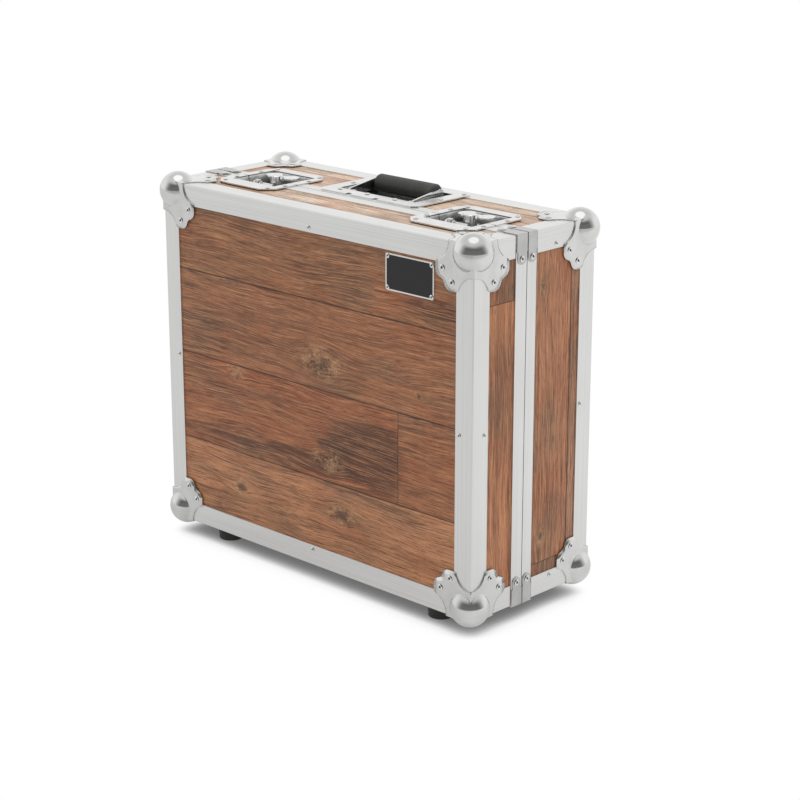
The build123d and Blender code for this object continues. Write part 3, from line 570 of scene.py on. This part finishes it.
def rivet_tree():
    """Geometry nodes: a domed head with a dark disc of painted shade in its middle, instanced on every point
    along its direction.
    """
    ring_sides = 24
    dome_steps = 8
    bore_sides = 16
    tree = bpy.data.node_groups.new("rivet_heads", "GeometryNodeTree")
    tree.interface.new_socket("Geometry", in_out="INPUT", socket_type="NodeSocketGeometry")
    for name, kind in (("Head Radius", "Float"), ("Head Height", "Float"), ("Bore Radius", "Float"),
                       ("Finish", "Material")):
        tree.interface.new_socket(name, in_out="INPUT", socket_type="NodeSocket" + kind)
    tree.interface.new_socket("Geometry", in_out="OUTPUT", socket_type="NodeSocketGeometry")

    def add(kind, sockets=(), **settings):
        node = tree.nodes.new(kind)
        for name, value in settings.items():
            setattr(node, name, value)
        for name, value in dict(sockets).items():
            if isinstance(value, bpy.types.NodeSocket):
                tree.links.new(value, node.inputs[name])
            else:
                node.inputs[name].default_value = value
        return node.outputs

    def maths(operation, a, b):
        return add("ShaderNodeMath", {0: a, 1: b}, operation=operation)[0]

    def vector(x=0.0, y=0.0, z=0.0):
        return add("ShaderNodeCombineXYZ", {0: x, 1: y, 2: z})[0]

    entry = add("NodeGroupInput")
    head, tall, hole = entry["Head Radius"], entry["Head Height"], entry["Bore Radius"]
    middle = maths("MULTIPLY", maths("ADD", head, hole), 0.5)
    reach = maths("SUBTRACT", head, middle)
    ring = add("GeometryNodeCurvePrimitiveCircle", {"Resolution": ring_sides, "Radius": middle})[0]
    outside = vector(maths("MULTIPLY", reach, -1.0), maths("MULTIPLY", tall, 0.05))
    crown = vector(maths("MULTIPLY", reach, -0.6), maths("MULTIPLY", tall, -1.75))
    inside = vector(reach, maths("MULTIPLY", tall, -0.45))
    dome = add("GeometryNodeCurveQuadraticBezier", {"Resolution": dome_steps, "Start": outside,
                                                    "Middle": crown, "End": inside})[0]
    shell = add("GeometryNodeCurveToMesh", {"Curve": ring, "Profile Curve": dome})[0]
    # The dark disc is painted shade for the bore, set a little up in the head's middle.
    disc = add("GeometryNodeMeshCircle", {"Vertices": bore_sides, "Radius": maths("MULTIPLY", hole, 1.15)},
               fill_type="TRIANGLE_FAN")[0]
    lift = vector(z=maths("MULTIPLY", tall, 0.4))
    disc = add("GeometryNodeTransform", {"Geometry": disc, "Translation": lift})[0]
    disc = add("GeometryNodeStoreNamedAttribute", {"Geometry": disc, "Name": "bore_shade", "Value": 1.0},
               data_type="FLOAT", domain="POINT")[0]
    joined = tree.nodes.new("GeometryNodeJoinGeometry")
    tree.links.new(disc, joined.inputs[0])
    tree.links.new(shell, joined.inputs[0])
    smooth = add("GeometryNodeSetShadeSmooth", {"Geometry": joined.outputs[0]})[0]
    facing = add("GeometryNodeInputNamedAttribute", {"Name": "facing"}, data_type="FLOAT_VECTOR")[0]
    aim = add("FunctionNodeAlignRotationToVector", {"Vector": facing}, axis="Z")[0]
    heads = add("GeometryNodeInstanceOnPoints", {"Points": entry["Geometry"], "Instance": smooth,
                                                 "Rotation": aim})[0]
    real = add("GeometryNodeRealizeInstances", {"Geometry": heads})[0]
    finished = add("GeometryNodeSetMaterial", {"Geometry": real, "Material": entry["Finish"]})[0]
    add("NodeGroupOutput", {"Geometry": finished})
    return tree


rivet_heads = rivet_tree()


def rivets(name, body, places, head=0.0039, height=0.0013, hole=0.0014):
    """Rivet heads at (point, direction) pairs, as one piece of a body."""
    points = bpy.data.meshes.new(name)
    points.from_pydata([point for point, direction in places], [], [])
    facing = points.attributes.new("facing", "FLOAT_VECTOR", "POINT")
    for item, (point, direction) in zip(facing.data, places):
        item.vector = direction
    working = bpy.data.objects.new(name, points)
    scene.collection.objects.link(working)
    nodes = working.modifiers.new("heads", "NODES")
    nodes.node_group = rivet_heads
    sizes = {"Head Radius": head, "Head Height": height, "Bore Radius": hole, "Finish": rivet_metal}
    for item in rivet_heads.interface.items_tree:
        if item.in_out == "INPUT" and item.name in sizes:
            nodes[item.identifier] = sizes[item.name]
    plain_piece(name + "_heads", freeze(working), body)


# Two rivets hold each leaf of a ball corner, and one each leg of a clamp.
leaf_rivets = ((33.1, 48.4), (48.4, 33.1))
clamp_rivet = 0.029
clamp_sheet = 0.0012
band_middle = {"lid": -0.0265, "base": -0.00775}
low_z = middle_z - half_height
high_z = middle_z + half_height
for half, y_side in halves:
    places = []
    for x_side in (-1, 1):
        for z_side in (-1, 1):
            sides = (x_side, y_side, z_side)
            for face in range(3):
                axis = (2 + face) % 3
                direction = [0.0, 0.0, 0.0]
                direction[axis] = float(sides[axis])
                places += [(on_corner([u, v, -corner_sheet], face, sides), direction) for u, v in leaf_rivets]
            wall_x = x_side * half_width
            wall_z = middle_z + z_side * half_height
            band_y = band_middle[half]
            places.append(((wall_x + x_side * clamp_sheet, band_y, wall_z - z_side * clamp_rivet),
                           (x_side, 0.0, 0.0)))
            places.append(((wall_x - x_side * clamp_rivet, band_y, wall_z + z_side * clamp_sheet),
                           (0.0, 0.0, z_side)))
    rivets(f"{half}_corner_rivets", half, places)

# Smaller rivets pin the edge angles at mid-length, near the flange's free edge.
flange_rivet = 0.021
base_wall_rivet = 0.036
for half, y_side in halves:
    face_y = y_side * half_depth
    outward = (0.0, y_side, 0.0)
    places = [((0.0, face_y, high_z - flange_rivet), outward), ((0.0, face_y, low_z + flange_rivet), outward)]
    for x_side in (-1, 1):
        wall_x = x_side * half_width
        sideways = (x_side, 0.0, 0.0)
        places.append(((wall_x - x_side * flange_rivet, face_y, middle_z), outward))
        places.append(((wall_x, face_y - y_side * flange_rivet, middle_z), sideways))
        if half == "base":
            for edge_z, z_side in ((high_z, 1), (low_z, -1)):
                places.append(((wall_x, base_wall_rivet, edge_z - z_side * flange_rivet), sideways))
    rivets(f"{half}_edge_rivets", half, places, head=0.0029, height=0.0009, hole=0.0010)


# Feet: moulded black rubber, one near each corner of the bottom. A steel screw with a bored head holds each
# foot, up inside its recess.
foot_rubber, shade, (x, y, z) = start_material("foot_rubber")
mottle = shade.noise(x * 500.0, y * 500.0, z * 500.0, detail=4.0)
dust = shade.noise(x * 30.0, y * 30.0, z * 30.0, detail=3.0)
foot_colour = dust.rise(0.45, 0.8).blend((0.022, 0.021, 0.020), (0.045, 0.043, 0.040))
end_material(shade, foot_colour, bump=mottle, depth=0.00006, strength=0.5, Roughness=mottle * 0.2 + 0.5)
dress(foot_rubber, "lid_feet", "base_feet")
foot_x, foot_y, recess_roof = 0.193, 0.075, 0.009
downward = (0.0, 0.0, -1.0)
for half, y_side in halves:
    places = [((x_side * foot_x, y_side * foot_y, recess_roof), downward) for x_side in (-1, 1)]
    rivets(f"{half}_foot_screws", half, places, head=0.0052, height=0.0016, hole=0.0022)


# Hinges: zinc-plated steel leaves rolled round a pin on the parting line, under the case. Three rivets hold
# each leaf.
dress(stamped_zinc, "lid_hinge_leaves", "base_hinge_leaves", "hinge_pins")
hinge_x, leaf_under, parting_y = 0.126, 0.0205, -0.0165
hinge_rivet_y = 0.023
hinge_rivet_pitch = 0.024
for half, y_side in halves:
    rivet_y = parting_y + y_side * hinge_rivet_y
    places = [((x_side * hinge_x + n * hinge_rivet_pitch, rivet_y, leaf_under), downward)
              for x_side in (-1, 1) for n in (-1, 0, 1)]
    rivets(f"{half}_hinge_rivets", half, places, head=0.0034)


# Foam: charcoal polyethylene slabs cut with a hot wire, so the edges are soft and the face shows fine cells.
# The base has a floor and blocks round the deck, cut away under the dishes, and the lid has a flat pad.
foam_finish, shade, (x, y, z) = start_material("foam_finish")
cells = shade.node("TexVoronoi", {"Vector": shade.node("TexCoord", output="Object"), "Scale": 900.0})
cloud = shade.noise(x * 25.0, y * 25.0, z * 25.0, detail=4.0)
foam_colour = (cells * 0.6 + cloud * 0.5).rise(0.2, 0.9).blend((0.030, 0.031, 0.034), (0.072, 0.073, 0.078))
end_material(shade, foam_colour, bump=cells, depth=0.0003, strength=0.7, Roughness=0.92)


def foam(name, body, node, blocks):
    """Slabs between opposite corners, each with soft edges and a slight crown."""
    soft_edge = 0.003
    long_enough = 0.03
    pull_in = 0.0002
    wave_height = 0.00025
    mesh = bmesh.new()
    for corner, opposite in blocks:
        low, high = Vector(corner), Vector(opposite)
        slab = bmesh.ops.create_cube(mesh, size=1.0)["verts"]
        bmesh.ops.scale(mesh, vec=high - low, verts=slab)
        bmesh.ops.translate(mesh, vec=(low + high) / 2, verts=slab)
    bmesh.ops.bevel(mesh, geom=mesh.edges[:], offset=soft_edge, segments=4, profile=0.5, affect="EDGES")
    long_edges = [edge for edge in mesh.edges if edge.calc_length() > long_enough]
    bmesh.ops.subdivide_edges(mesh, edges=long_edges, cuts=10, use_grid_fill=True)
    for vert in mesh.verts:
        wave = sin(vert.co.x * 83.0) * sin(vert.co.y * 71.0 + 1.0) * sin(vert.co.z * 91.0 + 2.0)
        vert.co += vert.normal * (wave_height * wave - pull_in)
    for cell in mesh.faces:
        cell.smooth = True
    made = bpy.data.meshes.new(name)
    mesh.to_mesh(made)
    mesh.free()
    made.materials.append(foam_finish)
    piece = plain_piece(name, made, body)
    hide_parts(node)


foam_x, foam_low, foam_high = 0.2595, 0.0335, 0.4705
floor_y, back_inner_y, collar_y = 0.0775, 0.0975, 0.0025
hold_x, hold_low, hold_high = 0.2285, 0.0735, 0.4305
under_dishes, beside_handle, latch_in, latch_out = 0.4588, 0.0692, 0.1275, 0.2119
foam("base_floor_foam", "base", "base_foam_floor", [
    ((-foam_x, floor_y, foam_low), (foam_x, back_inner_y, under_dishes)),
    ((-foam_x, floor_y, under_dishes), (-beside_handle, back_inner_y, foam_high)),
    ((beside_handle, floor_y, under_dishes), (foam_x, back_inner_y, foam_high)),
])
foam("base_collar_foam", "base", "base_foam_collar", [
    ((-foam_x, collar_y, hold_high), (foam_x, floor_y, under_dishes)),
    ((-foam_x, collar_y, foam_low), (foam_x, floor_y, hold_low)),
    ((-foam_x, collar_y, hold_low), (-hold_x, floor_y, hold_high)),
    ((hold_x, collar_y, hold_low), (foam_x, floor_y, hold_high)),
    ((-foam_x, collar_y, under_dishes), (-latch_out, floor_y, foam_high)),
    ((-latch_in, collar_y, under_dishes), (-beside_handle, floor_y, foam_high)),
    ((beside_handle, collar_y, under_dishes), (latch_in, floor_y, foam_high)),
    ((latch_out, collar_y, under_dishes), (foam_x, floor_y, foam_high)),
])
pad_front, pad_back = -0.0975, -0.0825
foam("lid_pad_foam", "lid", "lid_foam_pad", [((-foam_x, pad_front, foam_low), (foam_x, pad_back, foam_high))])


# Latches: the dish halves are pressed zinc-plated sheet, darker towards the bottom of the recess as painted
# shade, and the moving pieces are brighter, with painted shade low in the recess too.
dish_zinc, shade, (x, y, z) = start_material("dish_zinc")
bloom = shade.noise(x * 50.0, y * 50.0, z * 50.0, detail=5.0)
# Painted shade: the dish darkens towards the bottom of its recess.
painted_recess_shade = 1.0 - z.rise(0.4660, 0.4815)
dish_colour = bloom.rise(0.35, 0.7).blend((0.70, 0.705, 0.70), (0.80, 0.80, 0.79))
dish_colour = painted_recess_shade.blend(dish_colour, bloom.blend((0.26, 0.26, 0.255), (0.40, 0.40, 0.39)))
end_material(shade, dish_colour, bump=bloom, depth=0.00008, strength=0.3, Metallic=1.0,
             Roughness=bloom * 0.16 + 0.14)
polished_zinc, shade, (x, y, z) = start_material("polished_zinc")
bloom = shade.noise(x * 120.0, y * 120.0, z * 120.0, detail=4.0)
# Painted shade: the moving pieces darken low in the recess.
painted_low_shade = 1.0 - z.rise(0.4640, 0.4790)
polished_colour = bloom.rise(0.35, 0.7).blend((0.70, 0.70, 0.69), (0.84, 0.84, 0.83))
polished_colour = painted_low_shade.blend(polished_colour, (0.30, 0.30, 0.295))
end_material(shade, polished_colour, bump=bloom, depth=0.00004, strength=0.3, Metallic=1.0,
             Roughness=bloom * 0.14 + 0.10)
latch_x, dish_top = 0.1697, 0.4835
upward = (0.0, 0.0, 1.0)
keeper_rows = ((0.040, parting_y - 0.039), (0.0455, parting_y - 0.014))
latch_rows = ((0.040, parting_y + 0.053), (0.0455, parting_y + 0.028))


def dish_rivets(name, body, centre, rows):
    """Pairs of rivets on a dish's flange. Each row holds their reach from the middle and its place in Y."""
    places = [((centre + side * reach, y, dish_top), upward) for reach, y in rows for side in (-1, 1)]
    rivets(name, body, places, head=0.0034)


for hand, x_side in (("left", -1), ("right", 1)):
    dress(dish_zinc, f"keeper_dish_{hand}", f"latch_dish_{hand}", f"strike_{hand}")
    dress(polished_zinc, f"latch_rotor_{hand}", f"latch_wing_{hand}", f"latch_link_{hand}",
          f"latch_hook_{hand}", f"latch_spring_{hand}")
    dish_rivets(f"keeper_rivets_{hand}", "lid", x_side * latch_x, keeper_rows)
    dish_rivets(f"latch_rivets_{hand}", "base", x_side * latch_x, latch_rows)


# Handle: a pressed dish with a steel bail that springs flat, and a soft black sleeve on the bail's rod. Seven
# rivets hold the dish's plate.
dress(dish_zinc, "handle_dish")
dress(polished_zinc, "handle_bail", "handle_pivots", "handle_springs")
sleeve, shade, (x, y, z) = start_material("grip_sleeve")
pebble = shade.noise(x * 900.0, y * 900.0, z * 900.0, detail=3.0)
rub = shade.noise(x * 40.0, y * 25.0, z * 25.0, detail=3.0)
sleeve_colour = rub.rise(0.4, 0.75).blend((0.036, 0.036, 0.034), (0.058, 0.058, 0.055))
end_material(shade, sleeve_colour, bump=pebble, depth=0.00008, strength=0.5, Roughness=pebble * 0.15 + 0.48)
dress(sleeve, "handle_grip")
front_rivets_x, front_rivets_y = (-0.060, -0.012, 0.036), 0.005
end_rivets_x, end_rivets_y = 0.0765, (0.045, 0.088)
places = [((rivet_x, front_rivets_y, dish_top), upward) for rivet_x in front_rivets_x]
places += [((x_side * end_rivets_x, rivet_y, dish_top), upward)
           for x_side in (-1, 1) for rivet_y in end_rivets_y]
rivets("handle_rivets", "base", places, head=0.0036)


# Badge: a thin plate of plain black enamel with a silver rim round it. Four small rivets hold it to the
# lid's face.
badge_x, badge_z = 0.1692, 0.429
badge_face = -0.1075
enamel_half_width, enamel_half_height = 0.0372, 0.0207
badge_rivet_x, badge_rivet_z = 0.0355, 0.019
enamel, shade, (x, y, z) = start_material("badge_enamel")
rim = (abs(x - badge_x) > enamel_half_width) + (abs(z - badge_z) > enamel_half_height)
shine = shade.noise(x * 80.0, y * 80.0, z * 80.0, detail=3.0)
enamel_colour = (rim > 0.5).blend((0.020, 0.019, 0.020), (0.78, 0.77, 0.74))
end_material(shade, enamel_colour, bump=shine, depth=0.00002, strength=0.2, Metallic=(rim > 0.5) * 0.9,
             Roughness=shine * 0.1 + 0.28, Specular_IOR_Level=0.25)
dress(enamel, "badge_plate")
places = [((badge_x + x_side * badge_rivet_x, badge_face, badge_z + z_side * badge_rivet_z), (0.0, -1.0, 0.0))
          for x_side in (-1, 1) for z_side in (-1, 1)]
rivets("badge_rivets", "lid", places, head=0.0030, height=0.0010, hole=0.0010)
